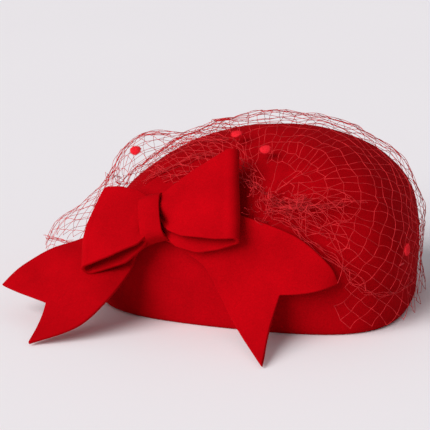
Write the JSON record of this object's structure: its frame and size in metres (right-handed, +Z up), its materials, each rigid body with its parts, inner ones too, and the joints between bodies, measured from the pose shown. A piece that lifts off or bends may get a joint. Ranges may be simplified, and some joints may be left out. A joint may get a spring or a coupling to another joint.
{
  "type": "fascinator headpiece",
  "caption": "Small hollow blocked felt crown with a flat rim, a felt bow with swallow tails on one side and a draped net veil with a free front lobe.",
  "frame": {"origin": "middle of the crown's edge, in the plane that it rests on", "axes": "+Z up through the crown, +X towards the wearer's back, -Y towards the side with the bow"},
  "size_m": [0.2604, 0.2327, 0.1254],
  "materials": {
    "felt_crown": "wool felt, short nap",
    "felt_bow": "wool felt, short nap",
    "hat_wire": "bright drawn wire",
    "petersham": "ribbed ribbon",
    "lining": "satin",
    "comb_wire": "polished wire",
    "thread": "sewing thread",
    "net": "nylon net",
    "chenille": "chenille pile"
  },
  "bodies": {
    "root": {"crown_side": "felt_crown", "crown_tip": "felt_crown", "rim_wire": "hat_wire", "sweatband": "petersham", "ribbon_join_tab": "petersham", "lining_side": "lining", "lining_tip": "lining", "front_comb_threads": "thread", "back_comb_threads": "thread", "bow_base": "felt_bow", "bow_left_tail": "felt_bow", "bow_right_tail": "felt_bow", "bow_left_loop": "felt_bow", "bow_right_loop": "felt_bow", "bow_knot": "felt_bow", "veil_cap": "net", "veil_gather": "net", "veil_dots": "chenille", "veil_tacks": "thread"},
    "front_comb": {"front_comb": "comb_wire"},
    "back_comb": {"back_comb": "comb_wire"},
    "veil_front": {"veil_front": "net", "veil_front_dots": "chenille"}
  },
  "joints": [
    {"name": "front_comb_tilt", "type": "hinge", "parent": "root", "child": "front_comb", "pos_m": [-0.09522, 0, 0.007], "axis": [0, 1, 0], "range_deg": [0, 60]},
    {"name": "back_comb_tilt", "type": "hinge", "parent": "root", "child": "back_comb", "pos_m": [0.09578, 0, 0.007], "axis": [0, -1, 0], "range_deg": [0, 60]},
    {"name": "veil_front_lift", "type": "hinge", "parent": "root", "child": "veil_front", "pos_m": [-0.052, 0, 0.114], "axis": [0, 1, 0], "range_deg": [0, 40]}
  ]
}
